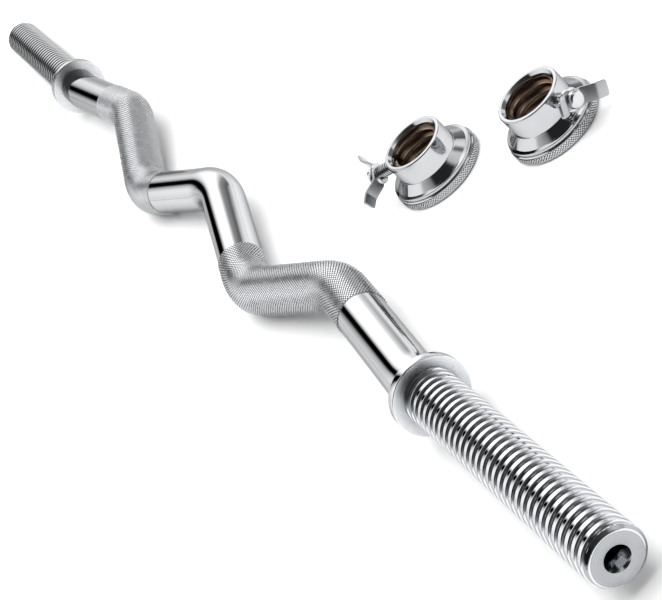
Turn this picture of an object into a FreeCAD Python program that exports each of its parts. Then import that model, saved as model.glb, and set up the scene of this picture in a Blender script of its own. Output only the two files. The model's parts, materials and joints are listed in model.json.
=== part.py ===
import FreeCAD, Part
import math
import os

from FreeCAD import Vector

os.makedirs("parts", exist_ok=True)

# Curl bar with two screw-on lock collars. Lengths are millimetres, angles are degrees.
# X runs along the threaded ends towards the near end, Z is up, and the origin lies on the
# sleeve axis at the outer face of the near stop collar, where the first plate sits.

# Clearances and cutting room
fit_clearance = 0.05
slide_clearance = 0.05
thread_clearance = 0.3
overrun = 2.0

# Bar as a whole
bar_length = 1012.0
stop_to_stop = 649.0

# Bent grip shaft
shaft_dia = 28.0
knurl_rise = 0.5
end_straight = 18.0
outer_bend_x = 196.5
outer_bend_y = 12.0
inner_bend_x = 103.5
inner_bend_y = 25.5
centre_bend_y = 11.0
bend_radius = 48.0
knurl_past_outer_bend = 40.0
knurl_past_inner_bend = 31.0

# Stop collars
stop_dia = 42.0
stop_thickness = 5.5
stop_edge = 0.8
stop_recess_depth = 0.6
stop_recess_clearance = 0.4

# Threaded ends
thread_dia = 29.5
thread_pitch = 5.5
end_chamfer = 1.8
tenon_dia = 18.0
tenon_reach = 26.0
tenon_edge = 1.0
socket_relief = 1.0
centre_hole_dia = 12.8
centre_hole_angle = 60.0
centre_pilot_dia = 5.0
centre_pilot_depth = 11.0

# Rounded thread form shared by the sleeve, its bush and the lock screw
thread_depth_share = 0.31
root_narrowing = 2.2
thread_sides = 12
thread_steps = 12

# Lock collar body
rim_dia = 56.0
rim_height = 6.0
rim_edge = 0.6
rim_groove_depth = 1.6
rim_groove_width = 0.7
lip_inset = 1.0
lip_height = 1.4
lip_edge = 0.5
cone_inset = 2.2
cone_foot_rise = 0.6
neck_foot_dia = 40.4
neck_foot_height = 12.0
neck_foot_step = 0.5
neck_dia = 38.8
collar_height = 26.0
neck_edge = 0.8
mouth_dia = 31.2
mouth_chamfer = 1.6

# Threaded bush inside the lock collar
bush_dia = 34.0
bush_recess = 0.6
bush_top = 22.5
bush_edge = 0.5

# Lock screw
screw_dia = 8.0
screw_pitch = 1.25
screw_height = 19.5
screw_showing = 8.0
screw_tip_setback = 0.6
screw_tip_edge = 0.7
screw_disc_dia = 13.0
screw_disc_thickness = 2.0
screw_disc_edge = 0.4
screw_spigot_dia = 6.0
screw_dome_dia = 10.0
screw_dome_height = 3.6
screw_dome_edge = 1.9

# Wing plate of the lock screw
wing_thickness = 1.6
wing_width = 9.0
wing_flat = 12.0
wing_arm = 9.0
wing_arm_angle = 48.0
wing_tip = 6.0
wing_tip_angle = 20.0
wing_corner = 1.5

# Where the two loose collars stand on the floor, and how their screws are turned
left_collar_x = 155.0
left_collar_y = 98.5
left_screw_heading = 235.0
left_wing_turn = 75.0
right_collar_x = 217.0
right_collar_y = 153.0
right_screw_heading = 20.0
right_wing_turn = 60.0

# Derived positions
half_bar = bar_length / 2
stop_inner_x = stop_to_stop / 2
seat_x = stop_inner_x + stop_thickness
shaft_r = shaft_dia / 2
knurl_r = shaft_r + knurl_rise
stop_r = stop_dia / 2
thread_r = thread_dia / 2
thread_foot_x = seat_x - stop_recess_depth
tenon_r = tenon_dia / 2
neck_r = neck_dia / 2
rim_r = rim_dia / 2
bush_r = bush_dia / 2
screw_r = screw_dia / 2
thread_depth = thread_depth_share * thread_pitch
screw_depth = thread_depth_share * screw_pitch
thread_shares = [step / thread_steps for step in range(thread_steps + 1)]
wing_base = neck_r + screw_showing + screw_disc_thickness + slide_clearance

ORIGIN = Vector(0, 0, 0)
X_AXIS = Vector(1, 0, 0)
Y_AXIS = Vector(0, 1, 0)
Z_AXIS = Vector(0, 0, 1)


# Shape helpers

def cylinder(radius, length, base, axis):
    return Part.makeCylinder(radius, length, base, axis)


def revolved(outline):
    points = [Vector(r, 0, z) for r, z in outline]
    face = Part.Face(Part.makePolygon(points + points[:1]))
    return face.revolve(ORIGIN, Z_AXIS, 360)


def along_x(shape):
    turned = shape.copy()
    turned.rotate(ORIGIN, Y_AXIS, 90)
    return turned


def mirrored(shape):
    return shape.mirror(ORIGIN, X_AXIS)


def turned_round(shape):
    turned = shape.copy()
    turned.rotate(ORIGIN, Z_AXIS, 180)
    return turned


# Rounded thread: the skin of one pitch is laid as two half turns, then stacked end to end

def fitted(points, steps):
    curve = Part.BSplineCurve()
    curve.interpolate(Points=points, Parameters=steps)
    return curve


def half_turn_curves(radius, pitch, depth, side):
    angles = [math.pi * (side + i / thread_sides) for i in range(thread_sides + 1)]
    curves = []
    for share in thread_shares:
        points = []
        for angle in angles:
            wave = (1 + math.cos(2 * math.pi * share - angle)) / 2
            r = radius - depth * wave ** root_narrowing
            points.append(Vector(r * math.cos(angle), r * math.sin(angle), pitch * share))
        curves.append(fitted(points, angles))
    return curves


def thread_skin(curves):
    pole_columns = zip(*[curve.getPoles() for curve in curves])
    columns = [fitted(list(poles), thread_shares) for poles in pole_columns]
    around = curves[0]
    along = columns[0]
    skin = Part.BSplineSurface()
    skin.buildFromPolesMultsKnots(
        [column.getPoles() for column in columns],
        around.getMultiplicities(), along.getMultiplicities(),
        around.getKnots(), along.getKnots(),
        False, False, around.Degree, along.Degree)
    return skin.toShape()


def moved_up(shape, height):
    moved = shape.copy()
    moved.translate(Vector(0, 0, height))
    return moved


def threaded_rod(radius, pitch, depth, count):
    halves = [half_turn_curves(radius, pitch, depth, side) for side in range(2)]
    skins = [thread_skin(curves) for curves in halves]
    cap = Part.Face(Part.Wire([curves[0].toShape() for curves in halves]))
    faces = [cap, moved_up(cap, count * pitch)]
    for step in range(count):
        faces += [moved_up(skin, step * pitch) for skin in skins]
    shell = Part.makeShell(faces)
    shell.sewShape()
    rod = Part.Solid(Part.makeShell(shell.Faces))
    if rod.Volume < 0:
        rod.reverse()
    return rod


def pitches_over(length, pitch):
    return math.ceil(length / pitch)


# Bent grip shaft: straights and arcs in one plane

def bend_edges(corners):
    edges = []
    start = corners[0]
    for before, corner, after in zip(corners, corners[1:], corners[2:]):
        back = (before - corner).normalize()
        ahead = (after - corner).normalize()
        turn = math.pi - back.getAngle(ahead)
        run = bend_radius * math.tan(turn / 2)
        bisector = (back + ahead).normalize()
        crown = corner + bisector * (bend_radius / math.cos(turn / 2) - bend_radius)
        entry = corner + back * run
        leave = corner + ahead * run
        edges.append(Part.makeLine(start, entry))
        edges.append(Part.Arc(entry, crown, leave).toShape())
        start = leave
    edges.append(Part.makeLine(start, corners[-1]))
    return edges


def tube(corners, radius):
    path = Part.Wire(bend_edges(corners))
    heading = corners[1] - corners[0]
    ring = Part.Wire(Part.makeCircle(radius, corners[0], heading))
    return path.makePipeShell([ring], True, False)


def towards(start, end, distance):
    return start + (end - start).normalize() * distance


shaft_end = Vector(stop_inner_x, 0, 0)
sleeve_bend = Vector(stop_inner_x - end_straight, 0, 0)
outer_bend = Vector(outer_bend_x, outer_bend_y, 0)
inner_bend = Vector(inner_bend_x, -inner_bend_y, 0)
centre_bend = Vector(0, centre_bend_y, 0)
knurl_start = towards(outer_bend, sleeve_bend, knurl_past_outer_bend)
knurl_finish = towards(inner_bend, centre_bend, knurl_past_inner_bend)


def far(point):
    return Vector(-point.x, point.y, point.z)


def grip_shaft():
    outer = tube([shaft_end, sleeve_bend, knurl_start], shaft_r)
    grip = tube([knurl_start, outer_bend, inner_bend, knurl_finish], knurl_r)
    centre = tube([knurl_finish, centre_bend, far(knurl_finish)], shaft_r)
    shaft = centre.fuse([outer, grip, mirrored(outer), mirrored(grip)])
    socket_depth = tenon_reach + socket_relief
    socket = cylinder(tenon_r + fit_clearance, socket_depth + overrun,
                      Vector(stop_inner_x - socket_depth, 0, 0), X_AXIS)
    return shaft.cut([socket, mirrored(socket)])


# The low inner bends and the stop collars touch the floor together, which tips the W plane

def resting_tip():
    outer_slope = math.atan2(inner_bend_y + outer_bend_y, outer_bend_x - inner_bend_x)
    centre_slope = math.atan2(inner_bend_y + centre_bend_y, inner_bend_x)
    half_turn = (outer_slope + centre_slope) / 2
    lean = (outer_slope - centre_slope) / 2
    crown_loss = bend_radius * (math.cos(lean) / math.cos(half_turn) - 1)
    reach = inner_bend_y - crown_loss
    return math.degrees(math.asin((stop_r - knurl_r) / reach))


def laid_down(shape):
    laid = shape.copy()
    laid.rotate(ORIGIN, X_AXIS, resting_tip())
    return laid


# Stop collar: a ring held between the shaft end and the threaded end, which stands in a
# shallow recess so that a plate lies flat against the face

def stop_collar():
    bore_r = tenon_r + fit_clearance
    recess_r = thread_r + stop_recess_clearance
    recess_floor = stop_thickness - stop_recess_depth
    outline = [
        (bore_r, 0),
        (stop_r - stop_edge, 0),
        (stop_r, stop_edge),
        (stop_r, stop_thickness - stop_edge),
        (stop_r - stop_edge, stop_thickness),
        (recess_r, stop_thickness),
        (recess_r, recess_floor),
        (bore_r, recess_floor),
    ]
    ring = along_x(revolved(outline))
    ring.translate(Vector(stop_inner_x, 0, 0))
    return ring


# Threaded end: rolled sleeve thread, chamfered face with a centre hole, and a tenon

def threaded_end():
    sleeve_length = half_bar - thread_foot_x
    turns = pitches_over(sleeve_length, thread_pitch)
    sleeve = threaded_rod(thread_r, thread_pitch, thread_depth, turns)
    face_r = thread_r - end_chamfer
    envelope = revolved([
        (0, 0),
        (thread_r + overrun, 0),
        (thread_r + overrun, sleeve_length - end_chamfer - overrun),
        (face_r, sleeve_length),
        (0, sleeve_length),
    ])
    sleeve = sleeve.common(envelope)
    mouth_r = centre_hole_dia / 2
    pilot_r = centre_pilot_dia / 2
    cone_depth = (mouth_r - pilot_r) / math.tan(math.radians(centre_hole_angle / 2))
    hole = revolved([
        (0, sleeve_length),
        (mouth_r, sleeve_length),
        (pilot_r, sleeve_length - cone_depth),
        (pilot_r, sleeve_length - centre_pilot_depth),
        (0, sleeve_length - centre_pilot_depth - pilot_r),
    ])
    tenon_length = thread_foot_x - stop_inner_x + tenon_reach
    tenon = revolved([
        (0, 0),
        (tenon_r, 0),
        (tenon_r, tenon_edge - tenon_length),
        (tenon_r - tenon_edge, -tenon_length),
        (0, -tenon_length),
    ])
    end = along_x(sleeve.cut(hole).fuse(tenon))
    end.translate(Vector(thread_foot_x, 0, 0))
    return end


# Lock collar body: knurled rim, lip, cone and neck around the bush

def collar_body():
    mouth_r = mouth_dia / 2
    rim_inner_r = mouth_r + mouth_chamfer
    groove_top = rim_height + rim_groove_width
    lip_top = groove_top + lip_height
    lip_r = rim_r - lip_inset
    bore_r = bush_r + fit_clearance
    groove_r = rim_r - rim_groove_depth
    cone_r = lip_r - cone_inset
    body = revolved([
        (bore_r, 0),
        (rim_r - rim_edge, 0),
        (rim_r, rim_edge),
        (rim_r, rim_height - rim_edge),
        (rim_r - rim_edge, rim_height),
        (groove_r, rim_height),
        (groove_r, groove_top),
        (lip_r - lip_edge, groove_top),
        (lip_r, groove_top + lip_edge),
        (lip_r, lip_top - lip_edge),
        (lip_r - lip_edge, lip_top),
        (cone_r, lip_top + cone_foot_rise),
        (neck_foot_dia / 2, neck_foot_height),
        (neck_r, neck_foot_height + neck_foot_step),
        (neck_r, collar_height - neck_edge),
        (neck_r - neck_edge, collar_height),
        (rim_inner_r, collar_height),
        (mouth_r, collar_height - mouth_chamfer),
        (mouth_r, bush_top),
        (bore_r, bush_top),
    ])
    return body.cut(screw_hole())


def screw_hole():
    return cylinder(screw_r + slide_clearance, neck_r + overrun,
                    Vector(0, 0, screw_height), X_AXIS)


# Threaded bush, pressed in from below against the shoulder under the mouth

def threaded_bush():
    length = bush_top - bush_recess
    blank = revolved([
        (0, 0),
        (bush_r - bush_edge, 0),
        (bush_r, bush_edge),
        (bush_r, length - bush_edge),
        (bush_r - bush_edge, length),
        (0, length),
    ])
    turns = pitches_over(length, thread_pitch) + 2
    core = threaded_rod(thread_r + thread_clearance, thread_pitch, thread_depth, turns)
    core.translate(Vector(0, 0, -thread_pitch))
    bush = blank.cut(core)
    bush.translate(Vector(0, 0, bush_recess))
    return bush.cut(screw_hole())


# Lock screw: threaded shank, disc, spigot for the wing plate and riveted dome, along X

def lock_screw():
    tip_x = thread_r + thread_clearance + screw_tip_setback
    disc_x = neck_r + screw_showing
    shank_length = disc_x - tip_x
    turns = pitches_over(shank_length, screw_pitch)
    shank = threaded_rod(screw_r, screw_pitch, screw_depth, turns)
    shank = shank.common(revolved([
        (0, 0),
        (screw_r - screw_tip_edge, 0),
        (screw_r + overrun, screw_tip_edge + overrun),
        (screw_r + overrun, shank_length),
        (0, shank_length),
    ]))
    disc_r = screw_disc_dia / 2
    spigot_top = screw_disc_thickness + wing_thickness + 2 * slide_clearance
    dome_r = screw_dome_dia / 2
    dome_top = spigot_top + screw_dome_height
    head = revolved([
        (0, 0),
        (disc_r - screw_disc_edge, 0),
        (disc_r, screw_disc_edge),
        (disc_r, screw_disc_thickness - screw_disc_edge),
        (disc_r - screw_disc_edge, screw_disc_thickness),
        (screw_spigot_dia / 2, screw_disc_thickness),
        (screw_spigot_dia / 2, spigot_top),
        (dome_r, spigot_top),
        (dome_r, dome_top),
        (0, dome_top),
    ])
    top_edges = [e for e in head.Edges if abs(e.CenterOfMass.z - dome_top) < slide_clearance
                 and e.Closed]
    head = head.makeFillet(screw_dome_edge, top_edges)
    head.translate(Vector(0, 0, shank_length))
    screw = along_x(shank.fuse(head))
    screw.translate(Vector(tip_x, 0, screw_height))
    return screw


# Wing plate: a flat strip with both arms bent outwards and their tips eased back

def strip_side(points, offset):
    directions = [(b - a).normalize() for a, b in zip(points, points[1:])]
    normals = [Vector(-d.z, 0, d.x) for d in directions]
    side = [points[0] + normals[0] * offset]
    for point, before, after in zip(points[1:], normals, normals[1:]):
        bisector = (before + after).normalize()
        side.append(point + bisector * (offset / bisector.dot(after)))
    side.append(points[-1] + normals[-1] * offset)
    return side


def upright(edge):
    box = edge.BoundBox
    return box.ZLength > box.XLength + box.YLength


def wing_plate():
    arm = math.radians(wing_arm_angle)
    tip = math.radians(wing_tip_angle)
    root = Vector(wing_flat / 2, 0, 0)
    elbow = root + Vector(math.cos(arm), 0, math.sin(arm)) * wing_arm
    end = elbow + Vector(math.cos(tip), 0, math.sin(tip)) * wing_tip
    half = [root, elbow, end]
    lower = [far(p) for p in reversed(half)] + half
    upper = strip_side(lower, wing_thickness)
    outline = Part.makePolygon(lower + upper[::-1] + lower[:1])
    outline.translate(Vector(0, -wing_width / 2, 0))
    strip = Part.Face(outline).extrude(Vector(0, wing_width, 0))
    height = strip.BoundBox.ZMax + overrun
    plan = Part.makeBox(2 * end.x, wing_width, height, Vector(-end.x, -wing_width / 2, -overrun / 2))
    corners = [e for e in plan.Edges if upright(e)]
    plan = plan.makeFillet(wing_corner, corners)
    hole = cylinder(screw_spigot_dia / 2 + slide_clearance, wing_thickness + overrun,
                    Vector(0, 0, -overrun / 2), Z_AXIS)
    return strip.common(plan).cut(hole)


def wings(turn):
    plate = wing_plate()
    plate.rotate(ORIGIN, Z_AXIS, turn)
    plate = along_x(plate)
    plate.translate(Vector(wing_base, 0, screw_height))
    return plate


# Each loose collar stands on its rim on the floor, which touches the stop collars

def standing(shape, x, y, heading):
    stood = shape.copy()
    stood.rotate(ORIGIN, Z_AXIS, heading)
    stood.translate(Vector(x, y, -stop_r))
    return stood


def save(name, shape):
    shape.translate(Vector(-seat_x, 0, 0))
    shape.exportStep("parts/" + name + ".step")


save("grip_shaft", laid_down(grip_shaft()))

near_end = threaded_end()
save("far_thread", turned_round(near_end))
save("near_thread", near_end)

near_stop = stop_collar()
save("far_stop", turned_round(near_stop))
save("near_stop", near_stop)

body = collar_body()
bush = threaded_bush()
screw = lock_screw()

for side, x, y, heading, turn in [
    ("left", left_collar_x, left_collar_y, left_screw_heading, left_wing_turn),
    ("right", right_collar_x, right_collar_y, right_screw_heading, right_wing_turn),
]:
    save(side + "_collar", standing(body, x, y, heading))
    save(side + "_bush", standing(bush, x, y, heading))
    save(side + "_screw", standing(screw, x, y, heading))
    save(side + "_wings", standing(wings(turn), x, y, heading))
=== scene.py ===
import bisect
import json
import math

import bmesh
import bpy
from mathutils import Matrix, Vector


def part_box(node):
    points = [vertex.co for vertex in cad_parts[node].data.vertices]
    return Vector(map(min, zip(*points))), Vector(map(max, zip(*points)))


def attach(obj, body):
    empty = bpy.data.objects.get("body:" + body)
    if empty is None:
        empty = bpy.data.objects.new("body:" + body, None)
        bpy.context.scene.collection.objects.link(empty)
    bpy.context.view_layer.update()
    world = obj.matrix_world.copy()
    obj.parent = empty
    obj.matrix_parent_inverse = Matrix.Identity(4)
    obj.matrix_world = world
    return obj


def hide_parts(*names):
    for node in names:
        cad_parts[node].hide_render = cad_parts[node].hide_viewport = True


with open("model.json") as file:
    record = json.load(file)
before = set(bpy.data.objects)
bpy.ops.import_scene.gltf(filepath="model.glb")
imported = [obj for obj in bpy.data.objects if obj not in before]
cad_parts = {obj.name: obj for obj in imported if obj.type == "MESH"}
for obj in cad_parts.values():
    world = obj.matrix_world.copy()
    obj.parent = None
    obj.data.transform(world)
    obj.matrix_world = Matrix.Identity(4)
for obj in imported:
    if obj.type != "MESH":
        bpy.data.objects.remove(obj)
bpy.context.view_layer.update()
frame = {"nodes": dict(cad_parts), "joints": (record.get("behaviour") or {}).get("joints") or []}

# Grip shaft
# A solid steel bar, cold bent into a shallow W and chrome plated all over. Two grip zones were
# rolled with a diamond knurl before bending. The middle V and both ends are polished smooth.
mm = 0.001
shaft_radius = 14.0 * mm
shaft_bend = 48.0 * mm
sleeve_bend_in = 18.0 * mm
outer_bend = Vector((196.5, 12.0)) * mm
inner_bend = Vector((103.5, -25.5)) * mm
centre_bend = Vector((0.0, 11.0)) * mm
knurl_past_outer_bend = 40.0 * mm
knurl_past_inner_bend = 31.0 * mm
knurl_rise = 0.5 * mm
# The real knurl is nearer 1.2 mm, which is too fine to show here, so it is drawn coarser.
knurl_spacing = 1.7 * mm
knurl_slant = math.radians(33)
knurl_flat_share = 0.56
tube_step = 3.0 * mm
arc_step = math.radians(1.5)
weld_distance = 0.002 * mm
crease_angle = math.radians(32)
# The order of the finishes on a knurled piece.
plain_finish, crown_finish, groove_finish = range(3)

stop_low, stop_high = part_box("near_stop")
far_stop_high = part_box("far_stop")[1]
stop_thickness = stop_high.x - stop_low.x
stop_radius = (stop_high.y - stop_low.y) / 2
middle_x = (stop_low.x + far_stop_high.x) / 2
half_shaft = (stop_low.x - far_stop_high.x) / 2


def srgb(code):
    """Linear colour of an sRGB hex code."""
    shares = [int(code[i:i + 2], 16) / 255 for i in (1, 3, 5)]
    linear = [s / 12.92 if s <= 0.04045 else ((s + 0.055) / 1.055) ** 2.4 for s in shares]
    return (*linear, 1.0)


def add(tree, kind, links=None, **settings):
    """A node of that kind, with its settings, and its sockets set or linked."""
    made = tree.nodes.new(kind)
    for name, value in settings.items():
        setattr(made, name, value)
    for socket, value in (links or {}).items():
        if isinstance(value, bpy.types.NodeSocket):
            tree.links.new(value, made.inputs[socket])
        else:
            made.inputs[socket].default_value = value
    return made


def new_material(name):
    """An empty node material, its tree and the object's own coordinates."""
    material = bpy.data.materials.new(name)
    material.use_nodes = True
    material.node_tree.nodes.clear()
    place = add(material.node_tree, "ShaderNodeTexCoord")
    return material, material.node_tree, place.outputs["Object"]


def plated(name, colours, edge, roughness, roughness_swing, patch_size, ripple_size, ripple_depth):
    """Plated metal: clear reflections, a little uneven where the polishing wheel went."""
    material, tree, place = new_material(name)
    patches = add(tree, "ShaderNodeTexNoise", {"Vector": place, "Scale": 1 / patch_size, "Detail": 3.0})
    rough = add(tree, "ShaderNodeMapRange", {
        "Value": patches.outputs["Fac"], "From Min": 0.35, "From Max": 0.65,
        "To Min": roughness - roughness_swing, "To Max": roughness + roughness_swing})
    ripple = add(tree, "ShaderNodeTexNoise", {"Vector": place, "Scale": 1 / ripple_size, "Detail": 2.0})
    bump = add(tree, "ShaderNodeBump", {
        "Height": ripple.outputs["Fac"], "Strength": 1.0, "Distance": ripple_depth})
    tint = add(tree, "ShaderNodeMix", {
        "Factor": patches.outputs["Fac"], "A": srgb(colours[0]), "B": srgb(colours[1])},
        data_type="RGBA")
    metal = add(tree, "ShaderNodeBsdfPrincipled", {
        "Base Color": tint.outputs["Result"], "Metallic": 1.0, "Specular Tint": srgb(edge),
        "Roughness": rough.outputs["Result"], "Normal": bump.outputs["Normal"]})
    add(tree, "ShaderNodeOutputMaterial", {"Surface": metal.outputs["BSDF"]})
    return material


def new_form():
    """Points, faces and the finish of each face of a piece in the making."""
    return {"points": [], "faces": [], "finishes": [], "flat": []}


def add_face(form, corners, finish, flat=False):
    """One face between points of the form, smooth shaded unless it is flat."""
    form["faces"].append(tuple(corners))
    form["finishes"].append(finish)
    form["flat"].append(flat)


def add_rings(form, rings, finish=plain_finish):
    """Joins each ring of points to the next with quads."""
    first = len(form["points"])
    sides = len(rings[0])
    for ring in rings:
        form["points"].extend(ring)
    for row in range(len(rings) - 1):
        for i in range(sides):
            a = first + row * sides + i
            b = first + row * sides + (i + 1) % sides
            add_face(form, (a, b, b + sides, a + sides), finish)


def add_cap(form, ring, finish=plain_finish):
    """Closes a ring with one flat face."""
    first = len(form["points"])
    form["points"].extend(ring)
    add_face(form, range(first, first + len(ring)), finish)


def add_knurl(form, surface, columns, rows, rise):
    """Flat-topped diamonds between crossing grooves, on a band whose surface is a function."""
    first = len(form["points"])
    for row in range(rows + 1):
        for column in range(columns):
            form["points"].append(surface(row / rows, column / columns, 0.0))

    def low(column, row):
        """The point where the grooves' grid has that column and row."""
        return first + row * columns + column % columns

    for row in range(rows + 1):
        for column in range(1 - row % 2, columns, 2):
            west, east = low(column - 1, row), low(column + 1, row)
            if row in (0, rows):
                inside = low(column, 1 if row == 0 else rows - 1)
                add_face(form, (west, low(column, row), inside), groove_finish, flat=True)
                add_face(form, (low(column, row), east, inside), groove_finish, flat=True)
                continue
            south, north = low(column, row - 1), low(column, row + 1)
            top = len(form["points"])
            for across, along in ((-1, 0), (0, -1), (1, 0), (0, 1)):
                form["points"].append(surface(
                    (row + along * knurl_flat_share) / rows,
                    (column + across * knurl_flat_share) / columns, rise))
            add_face(form, range(top, top + 4), crown_finish, flat=True)
            for i, side in enumerate(((west, south), (south, east), (east, north), (north, west))):
                add_face(form, (*side, top + (i + 1) % 4, top + i), groove_finish, flat=True)


def moved(form, to_row):
    """The same form in another place."""
    return {**form, "points": [to_row @ point for point in form["points"]]}


def welded_mesh(name, form):
    """The form as a mesh, with its doubled points joined and its faces turned outwards."""
    mesh = bpy.data.meshes.new(name)
    mesh.from_pydata(form["points"], [], form["faces"])
    for polygon, finish, flat in zip(mesh.polygons, form["finishes"], form["flat"]):
        polygon.material_index = finish
        polygon.use_smooth = not flat
    work = bmesh.new()
    work.from_mesh(mesh)
    bmesh.ops.remove_doubles(work, verts=work.verts, dist=weld_distance)
    bmesh.ops.recalc_face_normals(work, faces=work.faces)
    work.to_mesh(mesh)
    work.free()
    return mesh


def new_piece(name, form, materials, body, node):
    """The finished piece, on its body, in place of its solid."""
    mesh = welded_mesh(name, form)
    mesh.set_sharp_from_angle(angle=crease_angle)
    for material in materials:
        mesh.materials.append(material)
    piece = bpy.data.objects.new(name, mesh)
    bpy.context.scene.collection.objects.link(piece)
    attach(piece, body)
    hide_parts(node)
    return piece


def far(point):
    """The same point on the other half of a piece that is alike about its middle."""
    return Vector((-point.x, point.y))


def swung(vector, angle):
    """A flat vector turned by an angle."""
    return Vector((vector.x * math.cos(angle) - vector.y * math.sin(angle),
                   vector.x * math.sin(angle) + vector.y * math.cos(angle)))


def bent_line(corners, radius, step):
    """Points of a line of straight runs that are joined by bends of one radius."""
    points = [corners[0]]
    for before, corner, after in zip(corners, corners[1:], corners[2:]):
        back = (before - corner).normalized()
        ahead = (after - corner).normalized()
        turn = math.pi - back.angle(ahead)
        entry = corner + back * radius * math.tan(turn / 2)
        middle = corner + (back + ahead).normalized() * radius / math.cos(turn / 2)
        sense = 1 if back.x * ahead.y - back.y * ahead.x < 0 else -1
        steps = math.ceil(turn / step)
        points += [middle + swung(entry - middle, sense * turn * i / steps) for i in range(steps + 1)]
    return points + [corners[-1]]


def distances_along(points):
    """How far along the line each of its points lies."""
    reach = [0.0]
    for before, after in zip(points, points[1:]):
        reach.append(reach[-1] + (after - before).length)
    return reach


shaft_end = Vector((half_shaft, 0.0))
sleeve_bend = Vector((half_shaft - sleeve_bend_in, 0.0))
near_half = [shaft_end, sleeve_bend, outer_bend, inner_bend]
line = bent_line(near_half + [centre_bend] + [far(corner) for corner in reversed(near_half)],
                 shaft_bend, arc_step)
line_reach = distances_along(line)
shaft_length = line_reach[-1]
headings = [(after - before).normalized() for before, after in zip(line, line[1:])]
tangents = [headings[0], *[(a + b).normalized() for a, b in zip(headings, headings[1:])], headings[-1]]


def shaft_point(station, angle, radius):
    """A point of the shaft's skin, that far along the centre line, before the W is laid down."""
    i = min(bisect.bisect_right(line_reach, station), len(line_reach) - 1) - 1
    share = (station - line_reach[i]) / (line_reach[i + 1] - line_reach[i])
    centre = line[i].lerp(line[i + 1], share)
    ahead = tangents[i].lerp(tangents[i + 1], share).normalized()
    side = radius * math.cos(angle)
    return Vector((centre.x - ahead.y * side, centre.y + ahead.x * side, radius * math.sin(angle)))


def station_past(corner, towards, distance):
    """How far along the line a point lies that is this far from a bend's corner, on a straight run."""
    point = corner + (towards - corner).normalized() * distance
    i = sum(vertex.x > point.x for vertex in line) - 1
    return line_reach[i] + (point - line[i]).length


knurl_from = station_past(outer_bend, sleeve_bend, knurl_past_outer_bend)
knurl_to = station_past(inner_bend, centre_bend, knurl_past_inner_bend)
grip_columns = 2 * round(math.tau * shaft_radius / knurl_spacing)
grip_length = knurl_to - knurl_from
grip_rows = 2 * round(grip_length * math.tan(knurl_slant) / knurl_spacing)


def shaft_ring(station):
    """A ring of the smooth shaft's skin."""
    return [shaft_point(station, math.tau * i / grip_columns, shaft_radius) for i in range(grip_columns)]


def grip_surface(start):
    """The skin of the grip zone that starts there, by shares of its length and girth."""
    return lambda along, around, rise: shaft_point(
        start + grip_length * along, math.tau * around, shaft_radius + rise)


shaft_form = new_form()
for start, end in ((0.0, knurl_from), (knurl_to, shaft_length - knurl_to),
                   (shaft_length - knurl_from, shaft_length)):
    steps = math.ceil((end - start) / tube_step)
    add_rings(shaft_form, [shaft_ring(start + (end - start) * k / steps) for k in range(steps + 1)])
for start in (knurl_from, shaft_length - knurl_to):
    add_knurl(shaft_form, grip_surface(start), grip_columns, grip_rows, knurl_rise)
for station in (0.0, shaft_length):
    add_cap(shaft_form, shaft_ring(station))

# The knurled inner bends and the stop collars touch the floor together, which tips the W's plane.
# The arc of an inner bend stops short of its corner by the crown loss.
outer_slope = math.atan2(outer_bend.y - inner_bend.y, outer_bend.x - inner_bend.x)
centre_slope = math.atan2(centre_bend.y - inner_bend.y, inner_bend.x)
crown_loss = shaft_bend * (
    math.cos((outer_slope - centre_slope) / 2) / math.cos((outer_slope + centre_slope) / 2) - 1)
lean = math.asin((stop_radius - shaft_radius - knurl_rise) / (-inner_bend.y - crown_loss))
laid_down = Matrix.Translation((middle_x, 0, 0)) @ Matrix.Rotation(lean, 4, "X")

# Polished chrome mirrors the room sharply and turns grey where it is seen at a slant.
polished_chrome = plated(
    "polished_chrome", ("#D2D3D5", "#DADBDD"), edge="#A4A4A4", roughness=0.05, roughness_swing=0.02,
    patch_size=40 * mm, ripple_size=9 * mm, ripple_depth=0.004 * mm)
# The flat tops of the diamonds are painted lighter than the plain chrome, as a painted highlight, and the
# grooves darker, as painted shade in the grooves. Both are rougher than the polished shaft.
lit_knurl_crowns = plated(
    "knurl_crown_painted_highlight", ("#E0E1E3", "#ECEDEE"), edge="#D0D0D0", roughness=0.26, roughness_swing=0.05,
    patch_size=6 * mm, ripple_size=1.5 * mm, ripple_depth=0.01 * mm)
shaded_knurl_grooves = plated(
    "knurl_groove_painted_shade", ("#A4A7AA", "#C0C2C4"), edge="#C0C0C0", roughness=0.24, roughness_swing=0.06,
    patch_size=6 * mm, ripple_size=1.5 * mm, ripple_depth=0.01 * mm)
new_piece("bent_grip_shaft", moved(shaft_form, laid_down),
          [polished_chrome, lit_knurl_crowns, shaded_knurl_grooves], "bar", "grip_shaft")

# Threaded ends
# Straight steel ends with a coarse rounded thread rolled on, chrome plated, each held in the shaft
# by a tenon. The end face is turned flat, with a chamfer and the centre hole that the lathe used.
thread_pitch = 5.5 * mm
thread_depth_share = 0.31
crest_share = 0.38
root_share = 0.18
# Share of the pitch about each root that takes the rougher finish with painted shade.
root_shade_share = 0.45
end_chamfer = 1.8 * mm
centre_hole_radius = 6.4 * mm
centre_hole_slope = math.radians(30)
pilot_radius = 2.5 * mm
pilot_depth = 11.0 * mm
pilot_tip_share = 0.2
face_edge = 0.35 * mm
recess_depth = 0.6 * mm
thread_sides = 96
steps_per_pitch = 28
handling_patch = 8.0 * mm
# The order of the finishes on a threaded piece.
crest_finish, root_finish, chamfer_finish, face_finish, cone_finish, pilot_finish = range(6)

thread_low, thread_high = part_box("near_thread")
thread_radius = (thread_high.y - thread_low.y) / 2
sleeve_length = thread_high.x + recess_depth
face_radius = thread_radius - end_chamfer


def on_ring(reach, angle, height):
    """A point about the X axis, with the angle measured from below."""
    return Vector((height, reach * math.sin(angle), -reach * math.cos(angle)))


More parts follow.
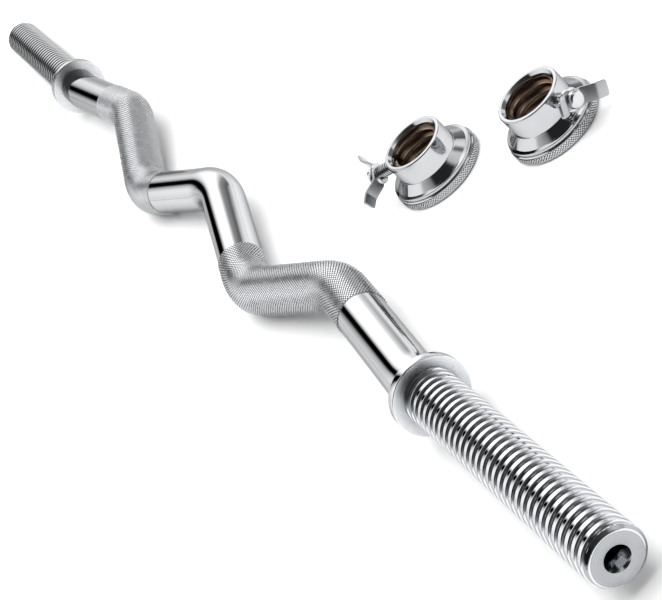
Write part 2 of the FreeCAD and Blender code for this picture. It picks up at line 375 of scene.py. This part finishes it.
def turned_rings(sides, profile):
    """Rings about the X axis from (distance, height) pairs."""
    angles = [math.tau * i / sides for i in range(sides)]
    return [[on_ring(radius, angle, height) for angle in angles] for radius, height in profile]


def from_root(turns):
    """Distance from the nearest root of a thread, as a share of the pitch."""
    return abs(turns - round(turns))


def thread_point(radius, pitch, limit, angle, height):
    """A point of a right-hand thread with eased flanks, which reaches no further than the limit."""
    up_flank = from_root(height / pitch - angle / math.tau) - root_share / 2
    rise = min(max(2 * up_flank / (1 - crest_share - root_share), 0), 1)
    reach = radius - thread_depth_share * pitch * (1 - rise * rise * (3 - 2 * rise))
    return on_ring(min(reach, limit(height)), angle, height)


def add_thread(form, sides, radius, pitch, start, end, limit, chamfer):
    """Lays a thread's skin in rows that follow its turns, and returns its first and last rings."""
    first = len(form["points"])
    rows = math.ceil((end - start) / pitch * steps_per_pitch) + steps_per_pitch
    angles = [math.tau * i / sides for i in range(sides)]
    for row in range(rows + 1):
        for i, angle in enumerate(angles):
            height = start + (row / steps_per_pitch + i / sides - 1) * pitch
            within = min(max(height, start), end)
            form["points"].append(thread_point(radius, pitch, limit, angle, within))
    for row in range(rows):
        turns = start / pitch + (2 * row + 1) / (2 * steps_per_pitch)
        skin = root_finish if from_root(turns) < root_shade_share / 2 else crest_finish
        for i in range(sides):
            a = first + row * sides + i
            b = a + 1 if i + 1 < sides else first + (row + steps_per_pitch) * sides
            if b + sides < len(form["points"]):
                chamfered = limit(form["points"][a].x) < radius
                finish = chamfer if chamfered else skin
                add_face(form, (a, b, b + sides, a + sides), finish)
    return [[thread_point(radius, pitch, limit, angle, height) for angle in angles]
            for height in (start, end)]


cone_depth = (centre_hole_radius - pilot_radius) / math.tan(centre_hole_slope)
face_rings = turned_rings(thread_sides, [
    (face_radius - face_edge, sleeve_length), (centre_hole_radius + face_edge, sleeve_length)])
cone_rings = turned_rings(thread_sides, [
    (centre_hole_radius, sleeve_length - face_edge / 2), (pilot_radius, sleeve_length - cone_depth)])
pilot_rings = turned_rings(thread_sides, [
    (pilot_radius, sleeve_length - cone_depth), (pilot_radius, sleeve_length - pilot_depth),
    (pilot_tip_share * pilot_radius, sleeve_length - pilot_depth - pilot_radius)])
sleeve_form = new_form()
sleeve_start, sleeve_end = add_thread(
    sleeve_form, thread_sides, thread_radius, thread_pitch, 0.0, sleeve_length - face_edge,
    lambda height: face_radius + sleeve_length - height, chamfer_finish)
add_rings(sleeve_form, [sleeve_end, face_rings[0]], crest_finish)
add_rings(sleeve_form, face_rings, face_finish)
add_rings(sleeve_form, [face_rings[-1], *cone_rings], cone_finish)
add_rings(sleeve_form, pilot_rings, pilot_finish)
add_cap(sleeve_form, pilot_rings[-1], pilot_finish)
add_cap(sleeve_form, sleeve_start, crest_finish)


def turned_metal(name, colours, roughness, mark_spacing, mark_depth):
    """Lathe-turned metal about the bar's axis: fine rings under the plating and a satin sheen."""
    material, tree, place = new_material(name)
    # At scale 1 the rings of this texture are pi / 10 apart.
    marks = add(tree, "ShaderNodeTexWave", {
        "Vector": place, "Scale": math.pi / (10 * mark_spacing), "Distortion": 0.4, "Detail": 1.0},
        wave_type="RINGS", rings_direction="X")
    bump = add(tree, "ShaderNodeBump", {
        "Height": marks.outputs["Fac"], "Strength": 0.6, "Distance": mark_depth})
    patches = add(tree, "ShaderNodeTexNoise", {"Vector": place, "Scale": 1 / handling_patch, "Detail": 4.0})
    rough = add(tree, "ShaderNodeMapRange", {
        "Value": patches.outputs["Fac"], "To Min": roughness[0], "To Max": roughness[1]})
    tint = add(tree, "ShaderNodeMix", {
        "Factor": marks.outputs["Fac"], "A": srgb(colours[0]), "B": srgb(colours[1])},
        data_type="RGBA")
    metal = add(tree, "ShaderNodeBsdfPrincipled", {
        "Base Color": tint.outputs["Result"], "Metallic": 1.0,
        "Roughness": rough.outputs["Result"], "Normal": bump.outputs["Normal"]})
    add(tree, "ShaderNodeOutputMaterial", {"Surface": metal.outputs["BSDF"]})
    return material


# Chrome over a rolled thread is as bright as the shaft, but its crests carry faint rolling marks.
rolled_chrome = plated(
    "rolled_thread_chrome", ("#D4D6D8", "#DCDEE0"), edge="#A0A0A0", roughness=0.06, roughness_swing=0.02,
    patch_size=25 * mm, ripple_size=4 * mm, ripple_depth=0.003 * mm)
# The roots and lower flanks of the thread are rougher, and painted darker as painted shade in the thread's
# grooves.
shaded_thread_root = plated(
    "thread_root_painted_shade", ("#9A9CA0", "#ACAEB1"), edge="#989898", roughness=0.12, roughness_swing=0.04,
    patch_size=25 * mm, ripple_size=4 * mm, ripple_depth=0.003 * mm)
# The chamfer is turned and wears first, so it is a shade darker than the crests.
worn_chamfer = plated(
    "worn_chamfer_chrome", ("#A0A2A5", "#AEB0B2"), edge="#808080", roughness=0.1, roughness_swing=0.03,
    patch_size=25 * mm, ripple_size=4 * mm, ripple_depth=0.003 * mm)
# The end face keeps the lathe's rings: real ones are about 0.1 mm, drawn wider so that they show.
turned_end = turned_metal(
    "turned_end_chrome", ("#A0A2A5", "#AEB0B3"), roughness=(0.22, 0.34),
    mark_spacing=1.0 * mm, mark_depth=0.014 * mm)
# The cone of the centre hole is smoother, since the lathe's centre burnished it.
burnished_cone = turned_metal(
    "burnished_cone_chrome", ("#A6A8AB", "#B2B4B7"), roughness=(0.08, 0.14),
    mark_spacing=0.5 * mm, mark_depth=0.001 * mm)
# The drilled pilot is unplated, and painted near black as painted shade deep in the hole.
pilot_painted_shade = turned_metal(
    "pilot_painted_shade", ("#1A1B1D", "#26272A"), roughness=(0.3, 0.5),
    mark_spacing=0.4 * mm, mark_depth=0.005 * mm)
far_side = Matrix.Translation((2 * middle_x, 0, 0)) @ Matrix.Rotation(math.pi, 4, "Z")
in_recess = Matrix.Translation((-recess_depth, 0, 0))
thread_finishes = [rolled_chrome, shaded_thread_root, worn_chamfer, turned_end, burnished_cone, pilot_painted_shade]
for end, to_row in (("near", in_recess), ("far", far_side @ in_recess)):
    new_piece(end + "_threaded_end", moved(sleeve_form, to_row), thread_finishes,
              "bar", end + "_thread")

# Stop collars
# Plain steel rings trapped between the shaft and the threaded ends, where the first plate comes
# to rest. They are turned, with eased edges, and chrome plated with the bar.
stop_edge = 0.8 * mm
tenon_radius = 9.05 * mm
recess_clearance = 0.4 * mm
recess_edge = 0.15 * mm
ring_sides = 144
edge_steps = 4
# The order of the finishes on a stop collar.
edge_finish, seat_finish = range(2)


def rounded(corners):
    """A closed outline of (distance, height, edge radius) corners, with each corner eased."""
    outline = []
    for before, corner, after in zip(corners[-1:] + corners[:-1], corners, corners[1:] + corners[:1]):
        here, back, ahead = (Vector(point[:2]) for point in (corner, before, after))
        radius = corner[2]
        if radius == 0:
            outline.append((here.x, here.y))
            continue
        to_back = (back - here).normalized()
        to_ahead = (ahead - here).normalized()
        run = radius * math.tan((math.pi - to_back.angle(to_ahead)) / 2)
        start, end = here + to_back * run, here + to_ahead * run
        for k in range(edge_steps + 1):
            share = k / edge_steps
            point = start * (1 - share) ** 2 + here * 2 * share * (1 - share) + end * share ** 2
            outline.append((point.x, point.y))
    return outline


recess_radius = thread_radius + recess_clearance
recess_floor = stop_thickness - recess_depth
stop_outline = rounded([
    (tenon_radius, 0, 0), (stop_radius, 0, stop_edge), (stop_radius, stop_thickness, stop_edge),
    (recess_radius, stop_thickness, recess_edge), (recess_radius, recess_floor, 0),
    (tenon_radius, recess_floor, 0)])
stop_rings = turned_rings(ring_sides, stop_outline + stop_outline[:1])
stop_form = new_form()
for ring, ring_after in zip(stop_rings, stop_rings[1:]):
    level = ring[0].x == ring_after[0].x
    add_rings(stop_form, [ring, ring_after], seat_finish if level else edge_finish)

# The faces are turned and only lightly polished, so they look satin with fine rings.
turned_stop = turned_metal(
    "turned_stop_chrome", ("#D0D2D4", "#DEE0E2"), roughness=(0.24, 0.32),
    mark_spacing=1.0 * mm, mark_depth=0.006 * mm)
at_shaft_end = Matrix.Translation((stop_low.x, 0, 0))
for end, to_row in (("near", at_shaft_end), ("far", far_side @ at_shaft_end)):
    new_piece(end + "_stop_collar", moved(stop_form, to_row), [polished_chrome, turned_stop],
              "bar", end + "_stop")

# Lock collars
# Loose collars that screw onto the sleeve and clamp the plates: turned steel with a knurled rim, a
# groove and lip, a cone and a neck, chrome plated. Each stands on its rim on the floor.
rim_radius = 28.0 * mm
rim_height = 6.0 * mm
rim_edge = 0.6 * mm
rim_knurl_rise = 0.45 * mm
# Like the grips' knurl, the rim's is drawn coarser than it is, so that it shows.
rim_knurl_spacing = 1.8 * mm
groove_radius = 26.4 * mm
groove_top = 6.7 * mm
lip_radius = 27.0 * mm
lip_top = 8.1 * mm
lip_edge = 0.5 * mm
cone_radius = 24.8 * mm
cone_foot = 8.7 * mm
cone_foot_ease = 0.8 * mm
neck_foot_radius = 20.2 * mm
neck_foot = 12.0 * mm
neck_foot_ease = 0.5 * mm
neck_radius = 19.4 * mm
neck_start = 12.5 * mm
neck_start_ease = 0.4 * mm
neck_edge = 0.8 * mm
collar_height = 26.0 * mm
mouth_radius = 15.6 * mm
mouth_chamfer = 1.6 * mm
mouth_edge = 0.3 * mm
bush_radius = 17.05 * mm
bush_top = 22.5 * mm
fine_edge = 0.2 * mm
screw_radius = 4.0 * mm
screw_hole_clearance = 0.1 * mm
screw_hole_start = 10.0 * mm
screw_hole_sides = 48

joints = {joint["name"]: joint for joint in frame["joints"]}
band_radius = rim_radius - rim_knurl_rise
band_height = rim_height - 2 * rim_edge
collar_columns = 2 * round(math.tau * rim_radius / rim_knurl_spacing)
rim_rows = 2 * round(band_height / rim_knurl_spacing)
collar_outline = rounded([
    (band_radius, rim_height - rim_edge, 0), (band_radius - rim_edge, rim_height, fine_edge),
    (groove_radius, rim_height, 0), (groove_radius, groove_top, 0),
    (lip_radius, groove_top, lip_edge), (lip_radius, lip_top, lip_edge),
    (cone_radius, cone_foot, cone_foot_ease), (neck_foot_radius, neck_foot, neck_foot_ease),
    (neck_radius, neck_start, neck_start_ease), (neck_radius, collar_height, neck_edge),
    (mouth_radius + mouth_chamfer, collar_height, mouth_edge),
    (mouth_radius, collar_height - mouth_chamfer, mouth_edge), (mouth_radius, bush_top, 0),
    (bush_radius, bush_top, 0), (bush_radius, 0, 0), (band_radius - rim_edge, 0, fine_edge),
    (band_radius, rim_edge, 0)])


def about_z(radius, share, height):
    """A point about the Z axis, by its share of a full turn."""
    angle = math.tau * share
    return Vector((radius * math.cos(angle), radius * math.sin(angle), height))


collar_form = new_form()
add_rings(collar_form, [[about_z(radius, i / collar_columns, height) for i in range(collar_columns)]
                        for radius, height in collar_outline])
add_knurl(collar_form, lambda along, around, rise: about_z(
    band_radius + rise, around, rim_edge + band_height * along),
    collar_columns, rim_rows, rim_knurl_rise)


def bored(piece, radius, start, end):
    """Cuts a round hole in the piece, from one point to another."""
    ring = [about_z(radius, i / screw_hole_sides, 0.0) for i in range(screw_hole_sides)]
    drill = new_form()
    to_row = (end - start).to_track_quat("Z", "Y").to_matrix().to_4x4()
    rings = [[centre + to_row @ point for point in ring] for centre in (start, end)]
    add_rings(drill, rings)
    add_cap(drill, rings[0][::-1])
    add_cap(drill, rings[1])
    cutter = bpy.data.objects.new("drill", welded_mesh("drill", drill))
    bpy.context.scene.collection.objects.link(cutter)
    cut = piece.modifiers.new("screw_hole", "BOOLEAN")
    cut.object = cutter
    seen = piece.evaluated_get(bpy.context.evaluated_depsgraph_get())
    piece.data = bpy.data.meshes.new_from_object(seen)
    piece.modifiers.remove(cut)
    bpy.data.objects.remove(cutter)
    piece.data.set_sharp_from_angle(angle=crease_angle)


# Turned and chromed: bright, with slightly softer reflections than the polished shaft.
collar_chrome = plated(
    "turned_collar_chrome", ("#B2B4B6", "#C4C5C7"), edge="#A0A0A0", roughness=0.07, roughness_swing=0.03,
    patch_size=18 * mm, ripple_size=5 * mm, ripple_depth=0.004 * mm)
collars = {}
for side in ("left", "right"):
    bush_low, bush_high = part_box(side + "_bush")
    centre = (bush_low + bush_high) / 2
    floor_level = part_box(side + "_collar")[0].z
    inward = Vector(joints[side + "_screw_in"]["axis"])
    screw_seat = Vector(joints[side + "_wing_turn"]["pos_m"])
    standing = Matrix.Translation((centre.x, centre.y, floor_level)) @ Matrix.Rotation(
        math.atan2(-inward.y, -inward.x), 4, "Z")
    screw_height = screw_seat.z - floor_level
    collars[side] = {"standing": standing, "centre": centre, "screw_height": screw_height}
    # The rim's knurl takes the same painted highlight on its tops and painted shade in its grooves.
    collar = new_piece(side + "_lock_collar", moved(collar_form, standing),
                       [collar_chrome, lit_knurl_crowns, shaded_knurl_grooves],
                       side + "_collar", side + "_collar")
    bored(collar, screw_radius + screw_hole_clearance,
          standing @ Vector((screw_hole_start, 0, screw_height)),
          standing @ Vector((rim_radius, 0, screw_height)))

# Threaded bushes
# Short bronze bushes pressed into the collars from below, cut with the sleeve's thread. They are
# bare metal, dull and brown, painted darker towards the thread's roots as painted shade, and bright
# only on the crests that rub on the sleeve.
crest_radius = 13.35 * mm
root_radius = 15.05 * mm
tarnish_size = 5.0 * mm
# Shares of the thread's depth where it is rubbed bright, brown, and darkest with painted shade.
bright_to = 0.08
brown_at = 0.3
dark_from = 0.9


def bare_bronze(name, centre, crest, flank, root):
    """Bronze with painted shade: near black in the roots of the thread, brown on the flanks and brassy
    where it rubs.
    """
    material, tree, place = new_material(name)
    from_axis = add(tree, "ShaderNodeVectorMath", {
        0: place, 1: (centre.x, centre.y, 0)}, operation="SUBTRACT")
    level = add(tree, "ShaderNodeVectorMath", {
        0: from_axis.outputs["Vector"], 1: (1, 1, 0)}, operation="MULTIPLY")
    reach = add(tree, "ShaderNodeVectorMath", {0: level.outputs["Vector"]}, operation="LENGTH")
    depth = add(tree, "ShaderNodeMapRange", {
        "Value": reach.outputs["Value"], "From Min": crest_radius, "From Max": root_radius})
    shades = add(tree, "ShaderNodeValToRGB", {"Fac": depth.outputs["Result"]})
    shades.color_ramp.elements.new(brown_at)
    shade_stops = ((bright_to, crest), (brown_at, flank), (dark_from, root))
    for element, (share, code) in zip(shades.color_ramp.elements, shade_stops):
        element.position = share
        element.color = srgb(code)
    tarnish = add(tree, "ShaderNodeTexNoise", {"Vector": place, "Scale": 1 / tarnish_size, "Detail": 5.0})
    tint = add(tree, "ShaderNodeMix", {
        "Factor": tarnish.outputs["Fac"], "A": shades.outputs["Color"], "B": srgb(flank)},
        data_type="RGBA")
    rough = add(tree, "ShaderNodeMapRange", {
        "Value": tarnish.outputs["Fac"], "To Min": 0.42, "To Max": 0.22})
    metal = add(tree, "ShaderNodeBsdfPrincipled", {
        "Base Color": tint.outputs["Result"], "Metallic": 1.0, "Roughness": rough.outputs["Result"]})
    add(tree, "ShaderNodeOutputMaterial", {"Surface": metal.outputs["BSDF"]})
    return material


for side in ("left", "right"):
    node = frame["nodes"][side + "_bush"]
    node.data.materials.clear()
    node.data.materials.append(bare_bronze(
        side + "_bronze_root_shade", collars[side]["centre"], crest="#D9C4AE", flank="#7A6353", root="#2E241E"))

# Lock screws
# Steel screws through the necks that grip the sleeve: a threaded shank with a disc, and a spigot
# whose end is riveted over the wing plate as a dome. Bright zinc plated.
screw_pitch = 1.25 * mm
shank_start = 15.65 * mm
shank_end = 27.4 * mm
tip_edge = 0.7 * mm
disc_radius = 6.5 * mm
disc_thickness = 2.0 * mm
disc_edge = 0.4 * mm
spigot_radius = 3.0 * mm
wing_thickness = 1.6 * mm
wing_gap = 0.05 * mm
dome_radius = 5.0 * mm
dome_height = 3.6 * mm
dome_edge = 1.9 * mm
dome_foot_edge = 0.3 * mm
screw_sides = 56

disc_top = shank_end + disc_thickness
dome_foot = disc_top + wing_thickness + 2 * wing_gap
dome_top = dome_foot + dome_height
head_outline = rounded([
    (0, shank_end, 0), (disc_radius, shank_end, disc_edge), (disc_radius, disc_top, disc_edge),
    (spigot_radius, disc_top, 0), (spigot_radius, dome_foot, 0), (dome_radius, dome_foot, dome_foot_edge),
    (dome_radius, dome_top, dome_edge), (0, dome_top, 0)])[1:-1]
screw_form = new_form()
shank_tip, shank_head = add_thread(
    screw_form, screw_sides, screw_radius, screw_pitch, shank_start, shank_end,
    lambda height: screw_radius - tip_edge + height - shank_start, crest_finish)
head_rings = turned_rings(screw_sides, head_outline)
add_rings(screw_form, [shank_head, *head_rings])
add_cap(screw_form, shank_tip)
add_cap(screw_form, head_rings[-1])

# Bright zinc is a little greyer and softer than chrome.
bright_zinc = plated(
    "bright_zinc", ("#C2C4C6", "#D2D3D4"), edge="#B4B4B4", roughness=0.12, roughness_swing=0.04,
    patch_size=7 * mm, ripple_size=2 * mm, ripple_depth=0.006 * mm)
# Its roots are painted darker, as painted shade in the thread.
shaded_zinc_root = plated(
    "zinc_root_painted_shade", ("#5E6062", "#75777A"), edge="#808080", roughness=0.22, roughness_swing=0.06,
    patch_size=7 * mm, ripple_size=2 * mm, ripple_depth=0.006 * mm)
for side, collar in collars.items():
    in_neck = collar["standing"] @ Matrix.Translation((0, 0, collar["screw_height"]))
    new_piece(side + "_lock_screw", moved(screw_form, in_neck), [bright_zinc, shaded_zinc_root],
              side + "_screw", side + "_screw")

# Wing plates
# Bent strips of sheet steel on the screws' spigots, for turning them by finger and thumb. Their
# arms lean out and ease back at the tips, the corners are rounded and the plating is satin.
wing_width = 9.0 * mm
wing_flat = 12.0 * mm
wing_arm = 9.0 * mm
wing_arm_slope = math.radians(48)
wing_tip = 6.0 * mm
wing_tip_slope = math.radians(20)
wing_corner = 1.5 * mm
wing_edge = 0.3 * mm
wing_bend = 2.4 * mm
wing_arc_step = math.radians(8)
wing_corner_steps = 6
wing_turns = {"left": math.radians(75), "right": math.radians(60)}

wing_root = Vector((wing_flat / 2, 0.0))
wing_elbow = wing_root + Vector((math.cos(wing_arm_slope), math.sin(wing_arm_slope))) * wing_arm
wing_end = wing_elbow + Vector((math.cos(wing_tip_slope), math.sin(wing_tip_slope))) * wing_tip
wing_half = [wing_root, wing_elbow, wing_end]
strip = bent_line([far(point) for point in reversed(wing_half)] + wing_half, wing_bend, wing_arc_step)
strip_reach = distances_along(strip)
strip_length = strip_reach[-1]
rounding = [wing_corner * (1 - math.cos(math.pi / 2 * k / wing_corner_steps))
            for k in range(wing_corner_steps)]
stations = rounding + [s for s in strip_reach if wing_corner <= s <= strip_length - wing_corner] + [
    strip_length - s for s in reversed(rounding)]


def strip_section(station):
    """The strip's cross section as a ring of points, rounded in plan at its ends."""
    i = min(bisect.bisect_right(strip_reach, station), len(strip_reach) - 1) - 1
    ahead = (strip[i + 1] - strip[i]).normalized()
    middle = strip[i] + ahead * (station - strip_reach[i])
    from_end = max(0.0, wing_corner - min(station, strip_length - station))
    half = wing_width / 2 - wing_corner + math.sqrt(max(0.0, wing_corner ** 2 - from_end ** 2))
    section = rounded([(-half, 0, wing_edge), (half, 0, wing_edge), (half, wing_thickness, wing_edge),
                       (-half, wing_thickness, wing_edge)])
    return [Vector((middle.x - ahead.y * t, w, middle.y + ahead.x * t)) for w, t in section]


wing_sections = [strip_section(station) for station in stations]
wing_form = new_form()
add_rings(wing_form, wing_sections)
add_cap(wing_form, wing_sections[0])
add_cap(wing_form, wing_sections[-1])


def satin_sheet(name, colour, grain_size, grain_depth):
    """Rolled and plated sheet: a fine even grain that softens the reflections."""
    material, tree, place = new_material(name)
    grain = add(tree, "ShaderNodeTexNoise", {"Vector": place, "Scale": 1 / grain_size, "Detail": 3.0})
    bump = add(tree, "ShaderNodeBump", {
        "Height": grain.outputs["Fac"], "Strength": 0.4, "Distance": grain_depth})
    rough = add(tree, "ShaderNodeMapRange", {"Value": grain.outputs["Fac"], "To Min": 0.26, "To Max": 0.42})
    metal = add(tree, "ShaderNodeBsdfPrincipled", {
        "Base Color": srgb(colour), "Metallic": 1.0,
        "Roughness": rough.outputs["Result"], "Normal": bump.outputs["Normal"]})
    add(tree, "ShaderNodeOutputMaterial", {"Surface": metal.outputs["BSDF"]})
    return material


# Satin plating over rolled sheet: an even grey with soft highlights. The grain is drawn coarser than
# it is, so that it shows.
satin_steel = satin_sheet("satin_plated_sheet", "#B0B2B4", grain_size=0.5 * mm, grain_depth=0.03 * mm)
for side, collar in collars.items():
    on_spigot = collar["standing"] @ Matrix.Translation(
        (disc_top + wing_gap, 0, collar["screw_height"])) @ Matrix.Rotation(math.pi / 2, 4, "Y")
    turned_to = on_spigot @ Matrix.Rotation(wing_turns[side], 4, "Z")
    new_piece(side + "_wing_plate", moved(wing_form, turned_to), [satin_steel],
              side + "_wings", side + "_wings")

# Studio
# A white paper floor in a white tent. A dark gap in the tent beyond the far end, grey screens on
# the right and the open side behind the camera draw the black and grey lines along the chrome.
floor_reach = 20.0
floor_colour = "#F7F7F7"
paper_grain = 3.0 * mm
lamp_height = 2.5
lamp_size = 3.0
lamp_watts = 80.0
# Where one wall of the tent goes over into the next, as the sine of the height above the horizon.
foot_to_wall = (0.1, 0.22)
wall_to_roof = (0.77, 0.82)
roof_to_zenith = (0.93, 0.96)
zenith_level = 0.03

bpy.ops.mesh.primitive_plane_add(size=2 * floor_reach, location=(middle_x, 0, stop_low.z))
floor = bpy.context.object
floor.name = "studio_floor"
paper, tree, place = new_material("white_paper")
fibres = add(tree, "ShaderNodeTexNoise", {"Vector": place, "Scale": 1 / paper_grain, "Detail": 2.0})
rough = add(tree, "ShaderNodeMapRange", {"Value": fibres.outputs["Fac"], "To Min": 0.8, "To Max": 0.95})
matt = add(tree, "ShaderNodeBsdfPrincipled", {
    "Base Color": srgb(floor_colour), "Roughness": rough.outputs["Result"], "Specular IOR Level": 0.1})
add(tree, "ShaderNodeOutputMaterial", {"Surface": matt.outputs["BSDF"]})
floor.data.materials.append(paper)

world = bpy.data.worlds.new("studio_tent")
bpy.context.scene.world = world
world.use_nodes = True
tent = world.node_tree
tent.nodes.clear()
direction = add(tent, "ShaderNodeTexCoord")
parts = add(tent, "ShaderNodeSeparateXYZ", {"Vector": direction.outputs["Generated"]})
back = add(tent, "ShaderNodeMath", {0: parts.outputs["X"], 1: -1.0}, operation="MULTIPLY")
aside = add(tent, "ShaderNodeMath", {0: parts.outputs["Y"], 1: -1.0}, operation="MULTIPLY")
heading = add(tent, "ShaderNodeMath", {0: aside.outputs[0], 1: back.outputs[0]}, operation="ARCTAN2")
round_tent = add(tent, "ShaderNodeMapRange", {
    "Value": heading.outputs[0], "From Min": -math.pi, "From Max": math.pi})


def tent_wall(stops):
    """Brightness round the tent, by degrees to the left of straight beyond the far end."""
    ramp = add(tent, "ShaderNodeValToRGB", {"Fac": round_tent.outputs["Result"]})
    for extra in stops[2:]:
        ramp.color_ramp.elements.new(0.5 + extra[0] / 360)
    for element, (degrees, level) in zip(ramp.color_ramp.elements, stops):
        element.position = 0.5 + degrees / 360
        element.color = (level, level, level, 1)
    return ramp.outputs["Color"]


def raised(lower, upper, heights):
    """One wall above another, blended between two heights."""
    share = add(tent, "ShaderNodeMapRange", {
        "Value": parts.outputs["Z"], "From Min": heights[0], "From Max": heights[1]})
    return add(tent, "ShaderNodeMix", {"Factor": share.outputs["Result"], "A": lower, "B": upper},
               data_type="RGBA").outputs["Result"]


# The foot of the tent is pale all round, and dim behind the camera.
foot = tent_wall([
    (-180, 0.2), (-140, 0.3), (-110, 1.0), (-102, 0.8), (-66, 0.8), (-60, 1.2), (-30, 1.4),
    (0, 1.2), (30, 1.2), (60, 1.4), (100, 1.0), (140, 0.3), (180, 0.2)])
# The wall starts at the open side behind the camera, and goes on to a grey screen on the right, a
# second one beyond it, the bright far wall, the dark gap, the left wall and the open side again.
wall = tent_wall([
    (-180, 0.06), (-165, 0.08), (-138, 0.15), (-125, 1.2), (-104, 1.2),
    (-98, 0.25), (-72, 0.25), (-66, 1.4), (-56, 1.2),
    (-52, 0.15), (-46, 0.3), (-40, 0.4), (-37, 0.7), (-32, 1.2),
    (-26, 2.0), (-6, 2.0), (4, 1.4), (8, 0.8), (11.5, 0.0), (20.5, 0.0), (25, 0.8),
    (32, 1.4), (60, 1.5), (95, 1.1), (104, 0.02), (146, 0.02), (152, 0.05), (180, 0.06)])
# The roof is brightest beyond the far end, and the zenith is dark.
roof = tent_wall([
    (-180, 0.1), (-150, 0.15), (-110, 0.8), (-60, 1.3), (-30, 1.8), (0, 1.6),
    (30, 1.2), (60, 1.0), (90, 0.4), (105, 0.05), (150, 0.05), (180, 0.1)])
zenith = (zenith_level, zenith_level, zenith_level, 1)
below_roof = raised(foot, wall, foot_to_wall)
lit = raised(raised(below_roof, roof, wall_to_roof), zenith, roof_to_zenith)
glow = add(tent, "ShaderNodeBackground", {"Color": lit, "Strength": 1.0})
add(tent, "ShaderNodeOutputWorld", {"Surface": glow.outputs["Background"]})

# One large lamp overhead keeps the floor white. The chrome doesn't mirror it.
lamp_data = bpy.data.lights.new("floor_light", "AREA")
lamp_data.shape = "DISK"
lamp_data.size = lamp_size
lamp_data.energy = lamp_watts
lamp = bpy.data.objects.new("floor_light", lamp_data)
bpy.context.scene.collection.objects.link(lamp)
lamp.location = (middle_x, 0, lamp_height)
lamp.visible_glossy = False

# Camera
# It stands beyond the near end and looks down along the bar, rolled so that the bar crosses the
# picture from corner to corner. Its place, direction and focal length were fitted to the photo.
camera_place = Vector((758.97, 2.91, 507.75)) * mm
look_along = Vector((-0.86967, 0.00006, -0.49363))
picture_up = Vector((-0.32377, 0.75477, 0.57052))
picture_width = 662
focal_pixels = 1904.2
sensor = 36.0
clip_end = 100.0
camera_data = bpy.data.cameras.new("camera")
camera = bpy.data.objects.new("camera", camera_data)
bpy.context.scene.collection.objects.link(camera)
camera_data.sensor_width = sensor
camera_data.sensor_fit = "HORIZONTAL"
camera_data.lens = focal_pixels * sensor / picture_width
camera_data.clip_end = clip_end
right = look_along.cross(picture_up).normalized()
up = right.cross(look_along).normalized()
camera.matrix_world = Matrix.Translation(camera_place) @ Matrix(
    (right, up, -look_along.normalized())).transposed().to_4x4()
bpy.context.scene.camera = camera
bpy.context.scene.view_settings.view_transform = "Standard"
